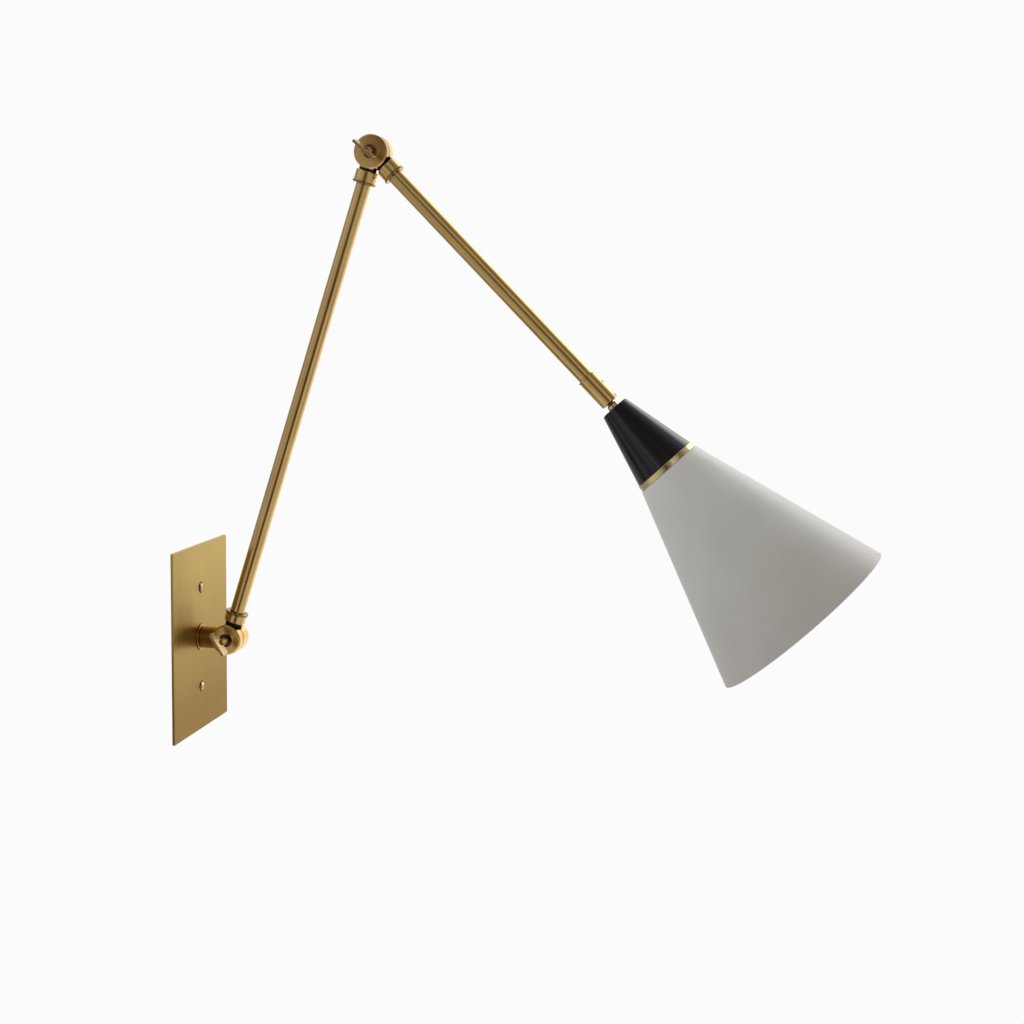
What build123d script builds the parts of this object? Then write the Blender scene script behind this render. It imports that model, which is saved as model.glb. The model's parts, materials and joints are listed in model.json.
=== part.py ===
from build123d import *
from math import cos, radians, sin, sqrt, tan
import os

os.makedirs("parts", exist_ok=True)

# Frame: +Z up, the wall is the plane Y = 0, the lamp reaches out towards -Y.
# The origin is the middle of the backplate's back face. Millimetres and degrees.

# Pose at rest
post_reach = 28.4
lower_length = 440.5
lower_lean = 17.1
upper_length = 289.5
upper_drop = 45.0
shade_drop = 46.9

# Clearances
running_clearance = 0.05
seat_clearance = 0.05
face_clearance = 0.05
swing_clearance = 0.8

# Backplate and its wall screws
plate_width = 127.0
plate_height = 166.0
plate_thickness = 2.0
plate_corner = 1.2
plate_edge = 0.35
screw_spacing = 88.9
screw_diameter = 4.16
screw_hole_slack = 0.15
screw_sink_diameter = 8.4
screw_sink_angle = 90.0
screw_dome = 2.3
screw_dome_share = 0.6
screw_slot_width = 1.1
screw_slot_depth = 1.2
upper_slot_turn = 80.0
lower_slot_turn = 35.0
screw_length = 25.0
nut_seat_diameter = 24.0
nut_seat_depth = 0.3

# Post, its foot ring and the hollow threaded pipe that holds it to the plate
post_diameter = 19.0
ring_diameter = 23.6
ring_thickness = 1.4
ring_round = 0.6
turn_gap = 0.2
pipe_diameter = 9.8
pipe_bore = 6.4
pipe_behind = 15.0
pipe_inside = 7.0
pipe_washer_diameter = 17.0
pipe_washer_thickness = 0.8
pipe_nut_flats = 15.0
pipe_nut_thickness = 3.5
bushing_diameter = 12.6
bushing_length = 4.0
bushing_lip = 1.2
bushing_round = 0.4

# Knuckles
knuckle_near = 10.0
base_knuckle_far = 14.5
elbow_knuckle_far = 12.5
base_disc_diameter = 26.4
elbow_disc_diameter = 28.6
disc_edge = 1.2
disc_inner_edge = 0.5
disc_far_round = 2.4
friction_thickness = 0.6
friction_margin = 0.6
pocket_diameter = 18.0
pocket_depth = 3.2
boss_diameter = 10.4
wire_bore = 4.6
wire_bore_inset = 1.15
neck_diameter = 15.4

# Thumb screws
thumb_diameter = 6.5
thumb_standoff = 13.0
thumb_depth = 10.3
thumb_outer_length = 22.6
thumb_inner_length = 21.0
thumb_outer_thickness = 2.2
thumb_root_thickness = 4.0
thumb_root = 3.0
thumb_corner = 1.2
thumb_edge = 0.35
thumb_tip_short = 1.0
thumb_recess_diameter = 11.6
thumb_recess_depth = 4.2
thumb_shoulder = 1.5
base_thumb_angle = 57.0
elbow_thumb_angle = 41.0

# Collars and tubes
lower_tube_diameter = 12.8
upper_tube_diameter = 13.4
tube_wall = 1.2
stub_grip = 12.0
collar_diameter = 18.8
collar_lip_diameter = 20.2
collar_lip = 2.2
base_collar_length = 9.0
elbow_collar_length = 11.2
collar_seat = 4.5
collar_edge = 0.8
collar_round = 0.6
base_collar_gap = 3.3
elbow_collar_gap = 1.7

# Swivel at the end of the upper arm
barrel_diameter = 15.7
barrel_length = 29.0
barrel_bead = 0.5
barrel_bead_width = 1.3
barrel_edge = 0.9
barrel_overlap = 8.0
plug_grip = 14.0
plug_head = 7.0
plug_bore = 6.0
groove_depth = 1.0
groove_width = 3.3
ball_diameter = 11.2
ball_back = 4.2
mouth_diameter = 10.0
mouth_flare = 0.9
seat_bore = 7.0
seat_gap = 0.8
grub_diameter = 3.0
grub_proud = 0.25
grub_socket = 1.5
grub_socket_depth = 0.75
lock_grub_ahead = 1.8
stem_diameter = 6.0
stem_grip = 4.8
stem_bore = 3.6

# Neck, cap, band and shade
neck_start = 5.2
neck_nose_diameter = 6.8
neck_taper = 1.2
coupling_diameter = 9.8
cap_start = 9.4
spigot_diameter = 8.0
spigot_grip = 7.0
cap_top_diameter = 24.0
cap_length = 62.8
cap_bottom_diameter = 56.0
cap_wall = 1.5
cap_roof = 3.0
cap_edge = 0.8
lock_nut_flats = 13.0
lock_nut_thickness = 3.2
band_width = 5.0
band_diameter = 57.6
band_web = 2.6
band_lip = 2.2
band_edge = 0.5
shade_top_diameter = 58.6
shade_mouth_diameter = 168.8
shade_length = 167.0
shade_wall = 1.0
hem_width = 3.0
hem_thickness = 0.6

# Lampholder
holder_start = 36.5
holder_diameter = 33.0
holder_block = 15.0
sleeve_lap = 4.0
sleeve_lap_wall = 1.2
holder_flange_diameter = 40.0
holder_flange = 2.0
skirt_diameter = 34.8
skirt_length = 13.0
holder_edge = 0.6
shell_diameter = 28.2
shell_wall = 1.0
shell_length = 27.0
shell_floor_bevel = 2.1
contact_diameter = 8.0
contact_height = 2.4
contact_gap = 2.0
contact_round = 0.8
shade_nut_diameter = 45.0
shade_nut_height = 6.0
shade_nut_grips = 18
shade_nut_grip_diameter = 2.4

# Sizes that follow from the ones above
inner_face = friction_thickness / 2 + face_clearance
lower_tube_bore = lower_tube_diameter - 2 * tube_wall
upper_tube_bore = upper_tube_diameter - 2 * tube_wall
post_back = plate_thickness + ring_thickness + turn_gap
cap_end = cap_start + cap_length
web_start = cap_end + band_width - band_web
shade_start = cap_end + band_width
lip_y = mouth_diameter / 2

lower_direction = Vector(0, -sin(radians(lower_lean)), cos(radians(lower_lean)))
upper_direction = Vector(0, -cos(radians(upper_drop)), -sin(radians(upper_drop)))
shade_direction = Vector(0, -cos(radians(shade_drop)), -sin(radians(shade_drop)))
wall_direction = Vector(0, 1, 0)
base_pivot = Vector(0, -post_reach, 0)
elbow_pivot = base_pivot + lower_direction * lower_length
ball_centre = elbow_pivot + upper_direction * (upper_length - ball_back)


# A plane square to an axis, a distance along it, with its own x along the hinge axis
def across(origin, direction, distance=0.0):
    return Plane(origin=origin + direction * distance, x_dir=(1, 0, 0), z_dir=direction)


# A plane that holds an axis: its x is the radius and its y runs along the axis
def holding(origin, direction):
    return Plane(origin=origin, x_dir=(1, 0, 0), z_dir=Vector(1, 0, 0).cross(direction))


# A plane square to the hinge axis, at a place on it
def beside(pivot, x):
    return Plane(origin=pivot + Vector(x, 0, 0), x_dir=(0, 1, 0), z_dir=(1, 0, 0))


# Backplate: a flat sheet with two countersunk holes and a hole for the pipe
with BuildPart() as backplate:
    with BuildSketch(Plane.XZ) as plate_outline:
        Rectangle(plate_width, plate_height)
        fillet(plate_outline.vertices(), plate_corner)
    extrude(amount=plate_thickness)
    front_face = backplate.faces().sort_by(Axis.Y)[0]
    chamfer(front_face.edges(), plate_edge)
    with BuildSketch(Plane.XZ.offset(plate_thickness)):
        Circle(pipe_diameter / 2 + running_clearance)
    extrude(amount=-plate_thickness, mode=Mode.SUBTRACT)
    with BuildSketch(Plane.XZ):
        Circle(nut_seat_diameter / 2)
    extrude(amount=nut_seat_depth, mode=Mode.SUBTRACT)
    with Locations(Plane.XZ.offset(plate_thickness)):
        with GridLocations(screw_spacing, screw_spacing, 1, 2):
            CounterSinkHole(
                radius=screw_diameter / 2 + screw_hole_slack,
                counter_sink_radius=screw_sink_diameter / 2,
                counter_sink_angle=screw_sink_angle,
            )
backplate.part.label = "backplate"
export_step(backplate.part, "parts/backplate.step")

# Two slotted screws with high domed countersunk heads, whose rim is level with the plate's face
head_edge_y = -plate_thickness
head_radius = screw_sink_diameter / 2 - seat_clearance
head_depth = head_radius - screw_diameter / 2
dome_y = -plate_thickness - screw_dome
with BuildPart() as mounting_screws:
    for z, slot_turn in ((-screw_spacing / 2, lower_slot_turn), (screw_spacing / 2, upper_slot_turn)):
        axis_point = Vector(0, 0, z)
        with BuildSketch(holding(axis_point, wall_direction)):
            with BuildLine():
                ThreePointArc(
                    (0, dome_y),
                    (head_radius * screw_dome_share, dome_y + (head_edge_y - dome_y) * screw_dome_share**2),
                    (head_radius, head_edge_y),
                )
                Line((head_radius, head_edge_y), (screw_diameter / 2, head_edge_y + head_depth))
                Line((screw_diameter / 2, head_edge_y + head_depth), (screw_diameter / 2, screw_length))
                Line((screw_diameter / 2, screw_length), (0, screw_length))
                Line((0, screw_length), (0, dome_y))
            make_face()
        revolve(axis=Axis(axis_point, wall_direction))
        with BuildSketch(Plane(origin=(0, dome_y, z), x_dir=(1, 0, 0), z_dir=(0, 1, 0))):
            Rectangle(screw_slot_width, 2 * head_radius, rotation=slot_turn)
        extrude(amount=screw_slot_depth, mode=Mode.SUBTRACT)
mounting_screws.part.label = "mounting_screws"
export_step(mounting_screws.part, "parts/mounting_screws.step")

# Foot ring between the plate and the turning post
with BuildPart() as post_ring:
    with BuildSketch(Plane.XZ.offset(plate_thickness)):
        Circle(ring_diameter / 2)
        Circle(pipe_diameter / 2 + running_clearance, mode=Mode.SUBTRACT)
    extrude(amount=ring_thickness)
    ring_front = post_ring.edges().group_by(Axis.Y)[0].sort_by(SortBy.RADIUS)[-1]
    fillet(ring_front, ring_round)
post_ring.part.label = "post_ring"
export_step(post_ring.part, "parts/post_ring.step")


# One half of a knuckle: a disc beside the centre plane, and a round neck on that plane
def knuckle_half(pivot, outward, disc_diameter, side, face, neck, neck_end, stub_end, stub):
    disc_radius = disc_diameter / 2
    round_start = disc_radius + swing_clearance
    with BuildPart() as half:
        with BuildSketch(beside(pivot, side * inner_face)):
            Circle(disc_radius)
        extrude(amount=side * (face - inner_face))
        if side < 0:
            chamfer(half.edges().group_by(Axis.X)[0], disc_edge)
            chamfer(half.edges().group_by(Axis.X)[-1], disc_inner_edge)
        else:
            fillet(half.edges().group_by(Axis.X)[-1], disc_far_round)
            chamfer(half.edges().group_by(Axis.X)[0], disc_inner_edge)
        with BuildSketch(across(pivot, outward)):
            Circle(neck / 2)
            with Locations((-side * neck / 2 + side * inner_face, 0)):
                Rectangle(neck, neck, mode=Mode.SUBTRACT)
        extrude(amount=round_start)
        with BuildSketch(across(pivot, outward, round_start)):
            Circle(neck / 2)
        extrude(amount=neck_end - round_start)
        if stub_end > neck_end:
            with BuildSketch(across(pivot, outward, neck_end)):
                Circle(stub / 2)
            extrude(amount=stub_end - neck_end)
        with BuildSketch(beside(pivot, side * inner_face)):
            Circle(pocket_diameter / 2)
            Circle(boss_diameter / 2, mode=Mode.SUBTRACT)
        extrude(amount=side * pocket_depth, mode=Mode.SUBTRACT)
        with BuildSketch(across(pivot, outward, boss_diameter / 2 + wire_bore_inset)):
            Circle(wire_bore / 2)
        extrude(amount=stub_end, mode=Mode.SUBTRACT)
        if side < 0:
            with BuildSketch(beside(pivot, -face)):
                Circle(thumb_recess_diameter / 2)
            extrude(amount=thumb_recess_depth, mode=Mode.SUBTRACT)
        with BuildSketch(beside(pivot, side * face)):
            Circle(thumb_diameter / 2 + running_clearance)
        extrude(amount=-side * face, mode=Mode.SUBTRACT)
    return half.part


# Post: round bar from the foot ring, with the near half of the base knuckle on its end
post_end = post_reach - post_back
with BuildPart() as post:
    add(
        knuckle_half(
            base_pivot,
            wall_direction,
            base_disc_diameter,
            -1,
            knuckle_near,
            post_diameter,
            post_end,
            post_end,
            0,
        )
    )
    with BuildSketch(across(base_pivot, wall_direction, post_end)):
        Circle(pipe_diameter / 2 + seat_clearance)
    extrude(amount=-pipe_inside, mode=Mode.SUBTRACT)
post.part.label = "post"
export_step(post.part, "parts/post.step")

# Threaded pipe through the ring and the plate, hollow for the wires
with BuildPart() as post_pipe:
    with BuildSketch(Plane.XZ.offset(-pipe_behind)):
        Circle(pipe_diameter / 2)
        Circle(pipe_bore / 2, mode=Mode.SUBTRACT)
    extrude(amount=pipe_behind + post_back + pipe_inside - seat_clearance)
post_pipe.part.label = "post_pipe"
export_step(post_pipe.part, "parts/post_pipe.step")

# Spring washer and nut behind the plate, which set how stiffly the post turns
washer_y = face_clearance - nut_seat_depth
with BuildPart() as pipe_washer:
    with BuildSketch(Plane.XZ.offset(-washer_y)):
        Circle(pipe_washer_diameter / 2)
        Circle(pipe_diameter / 2 + seat_clearance, mode=Mode.SUBTRACT)
    extrude(amount=-pipe_washer_thickness)
pipe_washer.part.label = "pipe_washer"
export_step(pipe_washer.part, "parts/pipe_washer.step")

nut_y = washer_y + pipe_washer_thickness
with BuildPart() as pipe_nut:
    with BuildSketch(Plane.XZ.offset(-nut_y)):
        RegularPolygon(pipe_nut_flats / 2, 6, major_radius=False)
        Circle(pipe_diameter / 2 + seat_clearance, mode=Mode.SUBTRACT)
    extrude(amount=-pipe_nut_thickness)
pipe_nut.part.label = "pipe_nut"
export_step(pipe_nut.part, "parts/pipe_nut.step")

# Plastic bushing that keeps the wires off the pipe's cut edge
with BuildPart() as wire_bushing:
    with BuildSketch(holding(Vector(0, 0, 0), wall_direction)):
        with BuildLine():
            Polyline(
                (pipe_diameter / 2 + seat_clearance, pipe_behind - bushing_length),
                (bushing_diameter / 2, pipe_behind - bushing_length),
                (bushing_diameter / 2, pipe_behind + bushing_lip),
                (pipe_bore / 2, pipe_behind + bushing_lip),
                (pipe_bore / 2, pipe_behind + seat_clearance),
                (pipe_diameter / 2 + seat_clearance, pipe_behind + seat_clearance),
                close=True,
            )
        make_face()
    revolve(axis=Axis((0, 0, 0), (0, 1, 0)))
    fillet(wire_bushing.edges().group_by(Axis.Y)[-1], bushing_round)
wire_bushing.part.label = "wire_bushing"
export_step(wire_bushing.part, "parts/wire_bushing.step")

# Knuckle halves that carry the arms. Each neck's thinner stub goes on into a tube.
base_collar_start = base_disc_diameter / 2 + base_collar_gap
elbow_collar_start = elbow_disc_diameter / 2 + elbow_collar_gap
for name, pivot, outward, disc, side, face, start, bore in (
    (
        "base_knuckle",
        base_pivot,
        lower_direction,
        base_disc_diameter,
        1,
        base_knuckle_far,
        base_collar_start,
        lower_tube_bore,
    ),
    (
        "elbow_lower_knuckle",
        elbow_pivot,
        -lower_direction,
        elbow_disc_diameter,
        -1,
        knuckle_near,
        elbow_collar_start,
        lower_tube_bore,
    ),
    (
        "elbow_upper_knuckle",
        elbow_pivot,
        upper_direction,
        elbow_disc_diameter,
        1,
        elbow_knuckle_far,
        elbow_collar_start,
        upper_tube_bore,
    ),
):
    stub_end = start + collar_seat + stub_grip
    stub = bore - 2 * seat_clearance
    with BuildPart() as arm_knuckle:
        add(knuckle_half(pivot, outward, disc, side, face, neck_diameter, start, stub_end, stub))
    arm_knuckle.part.label = name
    export_step(arm_knuckle.part, f"parts/{name}.step")

# Friction washers between the two halves of each knuckle
for name, pivot, disc in (
    ("base_friction_washer", base_pivot, base_disc_diameter),
    ("elbow_friction_washer", elbow_pivot, elbow_disc_diameter),
):
    with BuildPart() as friction_washer:
        with BuildSketch(beside(pivot, -friction_thickness / 2)):
            Circle(disc / 2 - friction_margin)
            Circle(pocket_diameter / 2 + friction_margin, mode=Mode.SUBTRACT)
        extrude(amount=friction_thickness)
    friction_washer.part.label = name
    export_step(friction_washer.part, f"parts/{name}.step")

# Thumb screws: a flat blade on a round shank, with a shoulder in the disc's recess
thumb_face = knuckle_near + thumb_standoff
shoulder_back = knuckle_near - thumb_recess_depth + face_clearance
for name, pivot, angle, far_face in (
    ("base_thumb_screw", base_pivot, base_thumb_angle, base_knuckle_far),
    ("elbow_thumb_screw", elbow_pivot, elbow_thumb_angle, elbow_knuckle_far),
):
    blade_normal = Vector(0, -sin(radians(angle)), cos(radians(angle)))
    blade_direction = Vector(0, cos(radians(angle)), sin(radians(angle)))
    with BuildPart() as thumb_screw:
        with BuildSketch(Plane(origin=pivot, x_dir=(-1, 0, 0), z_dir=blade_normal)) as blade:
            with BuildLine():
                Polyline(
                    (thumb_face, -thumb_inner_length / 2),
                    (thumb_face + thumb_depth, -thumb_outer_length / 2),
                    (thumb_face + thumb_depth, thumb_outer_length / 2),
                    (thumb_face, thumb_inner_length / 2),
                    close=True,
                )
            make_face()
            fillet(blade.vertices(), thumb_corner)
        extrude(amount=thumb_root_thickness / 2, both=True)
        with BuildSketch(Plane(origin=pivot, x_dir=(-1, 0, 0), z_dir=blade_direction)):
            with BuildLine():
                Polyline(
                    (thumb_face, -thumb_root_thickness / 2),
                    (thumb_face + thumb_depth, -thumb_outer_thickness / 2),
                    (thumb_face + thumb_depth, thumb_outer_thickness / 2),
                    (thumb_face, thumb_root_thickness / 2),
                    close=True,
                )
            make_face()
        extrude(amount=thumb_outer_length, both=True, mode=Mode.INTERSECT)
        broad_faces = thumb_screw.faces().sort_by(SortBy.AREA)[-2:]
        chamfer(broad_faces.edges(), thumb_edge)
        with BuildSketch(beside(pivot, -thumb_face - thumb_root)):
            Circle(thumb_diameter / 2)
        extrude(amount=thumb_face + thumb_root + far_face - thumb_tip_short)
        with BuildSketch(beside(pivot, -shoulder_back)):
            Circle(thumb_recess_diameter / 2 - seat_clearance)
        extrude(amount=-thumb_shoulder)
        tip = thumb_screw.edges().group_by(Axis.X)[-1]
        chamfer(tip, thumb_edge)
    thumb_screw.part.label = name
    export_step(thumb_screw.part, f"parts/{name}.step")

# Collars: a turned sleeve whose wider lip faces the tube that is seated in it
for name, pivot, outward, start, length, tube_outside in (
    (
        "base_collar",
        base_pivot,
        lower_direction,
        base_collar_start,
        base_collar_length,
        lower_tube_diameter,
    ),
    (
        "elbow_lower_collar",
        elbow_pivot,
        -lower_direction,
        elbow_collar_start,
        elbow_collar_length,
        lower_tube_diameter,
    ),
    (
        "elbow_upper_collar",
        elbow_pivot,
        upper_direction,
        elbow_collar_start,
        elbow_collar_length,
        upper_tube_diameter,
    ),
):
    stub_hole = tube_outside / 2 - tube_wall
    tube_hole = tube_outside / 2 + seat_clearance
    with BuildPart() as collar:
        with BuildSketch(holding(pivot, outward)) as collar_outline:
            with BuildLine():
                Polyline(
                    (stub_hole, start),
                    (collar_diameter / 2, start),
                    (collar_diameter / 2, start + length - collar_lip),
                    (collar_lip_diameter / 2, start + length - collar_lip),
                    (collar_lip_diameter / 2, start + length),
                    (tube_hole, start + length),
                    (tube_hole, start + collar_seat),
                    (stub_hole, start + collar_seat),
                    close=True,
                )
            make_face()
            outer_corners = collar_outline.vertices().group_by(Axis.X)
            fillet(outer_corners[-1], collar_round)
            fillet(collar_outline.vertices().sort_by(Axis.Y)[:2].sort_by(Axis.X)[-1], collar_edge)
        revolve(axis=Axis(pivot, outward))
    collar.part.label = name
    export_step(collar.part, f"parts/{name}.step")

# Arm tubes, seated in their collars
barrel_start = upper_length - barrel_length
lower_tube_start = base_collar_start + collar_seat
lower_tube_end = lower_length - elbow_collar_start - collar_seat
upper_tube_start = elbow_collar_start + collar_seat
upper_tube_end = barrel_start + barrel_overlap
for name, pivot, outward, start, end, outside in (
    ("lower_tube", base_pivot, lower_direction, lower_tube_start, lower_tube_end, lower_tube_diameter),
    ("upper_tube", elbow_pivot, upper_direction, upper_tube_start, upper_tube_end, upper_tube_diameter),
):
    with BuildPart() as tube:
        with BuildSketch(across(pivot, outward, start)):
            Circle(outside / 2)
            Circle(outside / 2 - tube_wall, mode=Mode.SUBTRACT)
        extrude(amount=end - start)
    tube.part.label = name
    export_step(tube.part, f"parts/{name}.step")

# Swivel plug: fixed in the end of the upper tube, with a groove that keeps the barrel on
plug_end = upper_tube_end + plug_head
groove_middle = upper_tube_end + plug_head / 2
groove_radius = upper_tube_diameter / 2 - groove_depth
with BuildPart() as swivel_plug:
    with BuildSketch(holding(elbow_pivot, upper_direction)):
        with BuildLine():
            Polyline(
                (plug_bore / 2, upper_tube_end - plug_grip),
                (upper_tube_bore / 2 - seat_clearance, upper_tube_end - plug_grip),
                (upper_tube_bore / 2 - seat_clearance, upper_tube_end),
                (upper_tube_diameter / 2, upper_tube_end),
                (upper_tube_diameter / 2, groove_middle - groove_width / 2),
                (groove_radius, groove_middle - groove_width / 2),
                (groove_radius, groove_middle + groove_width / 2),
                (upper_tube_diameter / 2, groove_middle + groove_width / 2),
                (upper_tube_diameter / 2, plug_end),
                (plug_bore / 2, plug_end),
                close=True,
            )
        make_face()
    revolve(axis=Axis(elbow_pivot, upper_direction))
swivel_plug.part.label = "swivel_plug"
export_step(swivel_plug.part, "parts/swivel_plug.step")

# Swivel barrel: turns on the tube's end and cups the ball in its own end
ball_place = upper_length - ball_back
barrel_bore = upper_tube_diameter / 2 + running_clearance
cup_radius = ball_diameter / 2 + running_clearance
lip_height = sqrt(cup_radius**2 - lip_y**2)
flare_start = ball_place + (lip_height + ball_back) / 2
grub_up = upper_direction.cross(Vector(1, 0, 0))
lock_grub_place = ball_place + lock_grub_ahead
with BuildPart() as swivel_barrel:
    with BuildSketch(holding(elbow_pivot, upper_direction)) as barrel_outline:
        with BuildLine():
            Polyline(
                (barrel_bore, barrel_start),
                (barrel_diameter / 2 + barrel_bead, barrel_start),
                (barrel_diameter / 2 + barrel_bead, barrel_start + barrel_bead_width),
                (barrel_diameter / 2, barrel_start + barrel_bead_width),
                (barrel_diameter / 2, upper_length),
                (lip_y + mouth_flare, upper_length),
                (lip_y, flare_start),
                (lip_y, ball_place),
                (barrel_bore, ball_place),
                close=True,
            )
        make_face()
        far_corner = barrel_outline.vertices().sort_by(Axis.Y)[-2:].sort_by(Axis.X)[-1]
        fillet(far_corner, barrel_edge)
    revolve(axis=Axis(elbow_pivot, upper_direction))
    with Locations(across(elbow_pivot, upper_direction, ball_place)):
        Sphere(cup_radius, mode=Mode.SUBTRACT)
    for place in (groove_middle, lock_grub_place):
        with BuildSketch(across(elbow_pivot + upper_direction * place, grub_up)):
            Circle(grub_diameter / 2 + seat_clearance)
        extrude(amount=barrel_diameter, mode=Mode.SUBTRACT)
swivel_barrel.part.label = "swivel_barrel"
export_step(swivel_barrel.part, "parts/swivel_barrel.step")

# Two grub screws in the barrel: one runs in the plug's groove, one locks the ball
groove_tip = groove_radius + running_clearance
ball_tip = ball_diameter / 2 + 2 * running_clearance
with BuildPart() as barrel_grub_screws:
    for place, tip in ((groove_middle, groove_tip), (lock_grub_place, ball_tip)):
        screw_foot = elbow_pivot + upper_direction * place
        screw_top = barrel_diameter / 2 + grub_proud
        with BuildSketch(across(screw_foot, grub_up, tip)):
            Circle(grub_diameter / 2)
        extrude(amount=screw_top - tip)
        with BuildSketch(across(screw_foot, grub_up, screw_top)):
            RegularPolygon(grub_socket / 2, 6, major_radius=False)
        extrude(amount=-grub_socket_depth, mode=Mode.SUBTRACT)
barrel_grub_screws.part.label = "barrel_grub_screws"
export_step(barrel_grub_screws.part, "parts/barrel_grub_screws.step")

# Ball seat: a cup behind the ball
with BuildPart() as ball_seat:
    with BuildSketch(across(elbow_pivot, upper_direction, plug_end + seat_gap)):
        Circle(barrel_bore - seat_clearance)
        Circle(seat_bore / 2, mode=Mode.SUBTRACT)
    extrude(amount=ball_place - plug_end - 2 * seat_gap)
    with Locations(across(elbow_pivot, upper_direction, ball_place)):
        Sphere(cup_radius, mode=Mode.SUBTRACT)
ball_seat.part.label = "ball_seat"
export_step(ball_seat.part, "parts/ball_seat.step")

# Ball and hollow stem, which the shade hangs on
stem_end = neck_start + stem_grip
with BuildPart() as swivel_ball:
    with Locations(across(ball_centre, shade_direction)):
        Sphere(ball_diameter / 2)
    with BuildSketch(across(ball_centre, shade_direction)):
        Circle(stem_diameter / 2)
    extrude(amount=stem_end)
    with BuildSketch(across(ball_centre, shade_direction, -ball_diameter / 2)):
        Circle(stem_bore / 2)
    extrude(amount=ball_diameter / 2 + stem_end, mode=Mode.SUBTRACT)
swivel_ball.part.label = "swivel_ball"
export_step(swivel_ball.part, "parts/swivel_ball.step")

# Neck coupling, whose spigot goes down through the cap into the lampholder
spigot_end = holder_start + spigot_grip
with BuildPart() as shade_neck:
    with BuildSketch(holding(ball_centre, shade_direction)):
        with BuildLine():
            Polyline(
                (stem_diameter / 2 + seat_clearance, neck_start),
                (neck_nose_diameter / 2, neck_start),
                (coupling_diameter / 2, neck_start + neck_taper),
                (coupling_diameter / 2, cap_start),
                (spigot_diameter / 2, cap_start),
                (spigot_diameter / 2, spigot_end),
                (stem_bore / 2, spigot_end),
                (stem_bore / 2, stem_end + seat_clearance),
                (stem_diameter / 2 + seat_clearance, stem_end + seat_clearance),
                close=True,
            )
        make_face()
    revolve(axis=Axis(ball_centre, shade_direction))
shade_neck.part.label = "shade_neck"
export_step(shade_neck.part, "parts/shade_neck.step")

# Cap: a thin cone with a thicker roof
cap_slope = (cap_bottom_diameter - cap_top_diameter) / 2 / cap_length
roof_y = cap_start + cap_roof
roof_inner = cap_top_diameter / 2 - cap_wall + cap_slope * cap_roof
spigot_hole = spigot_diameter / 2 + seat_clearance
with BuildPart() as shade_cap:
    with BuildSketch(holding(ball_centre, shade_direction)) as cap_outline:
        with BuildLine():
            Polyline(
                (spigot_hole, cap_start),
                (cap_top_diameter / 2, cap_start),
                (cap_bottom_diameter / 2, cap_end),
                (cap_bottom_diameter / 2 - cap_wall, cap_end),
                (roof_inner, roof_y),
                (spigot_hole, roof_y),
                close=True,
            )
        make_face()
        top_corner = cap_outline.vertices().sort_by(Axis.Y)[:2].sort_by(Axis.X)[-1]
        fillet(top_corner, cap_edge)
    revolve(axis=Axis(ball_centre, shade_direction))
shade_cap.part.label = "shade_cap"
export_step(shade_cap.part, "parts/shade_cap.step")

# Nut inside the cap's roof
with BuildPart() as cap_nut:
    with BuildSketch(across(ball_centre, shade_direction, roof_y)):
        RegularPolygon(lock_nut_flats / 2, 6, major_radius=False)
        Circle(spigot_hole, mode=Mode.SUBTRACT)
    extrude(amount=lock_nut_thickness)
cap_nut.part.label = "cap_nut"
export_step(cap_nut.part, "parts/cap_nut.step")

# Lampholder block: carries the screw shell and the contact, and screws onto the neck's spigot
block_end = holder_start + holder_block
lap_start = block_end - sleeve_lap
lap_radius = holder_diameter / 2 - sleeve_lap_wall
with BuildPart() as lampholder_block:
    with BuildSketch(holding(ball_centre, shade_direction)):
        with BuildLine():
            Polyline(
                (spigot_hole, holder_start),
                (holder_diameter / 2, holder_start),
                (holder_diameter / 2, lap_start),
                (lap_radius, lap_start),
                (lap_radius, block_end),
                (stem_bore / 2, block_end),
                (stem_bore / 2, spigot_end + seat_clearance),
                (spigot_hole, spigot_end + seat_clearance),
                close=True,
            )
        make_face()
    revolve(axis=Axis(ball_centre, shade_direction))
lampholder_block.part.label = "lampholder_block"
export_step(lampholder_block.part, "parts/lampholder_block.step")

# Lampholder sleeve: a tube with a flange on the band's web and a threaded skirt below it
skirt_end = web_start + skirt_length
shell_hole = shell_diameter / 2 + seat_clearance
with BuildPart() as lampholder_sleeve:
    with BuildSketch(holding(ball_centre, shade_direction)) as sleeve_outline:
        with BuildLine():
            Polyline(
                (lap_radius + seat_clearance, lap_start),
                (holder_diameter / 2, lap_start),
                (holder_diameter / 2, web_start - holder_flange),
                (holder_flange_diameter / 2, web_start - holder_flange),
                (holder_flange_diameter / 2, web_start),
                (skirt_diameter / 2, web_start),
                (skirt_diameter / 2, skirt_end),
                (shell_hole, skirt_end),
                (shell_hole, block_end),
                (lap_radius + seat_clearance, block_end),
                close=True,
            )
        make_face()
        mouth_corner = sleeve_outline.vertices().sort_by(Axis.Y)[-2:].sort_by(Axis.X)[-1]
        fillet(mouth_corner, holder_edge)
    revolve(axis=Axis(ball_centre, shade_direction))
lampholder_sleeve.part.label = "lampholder_sleeve"
export_step(lampholder_sleeve.part, "parts/lampholder_sleeve.step")

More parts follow.
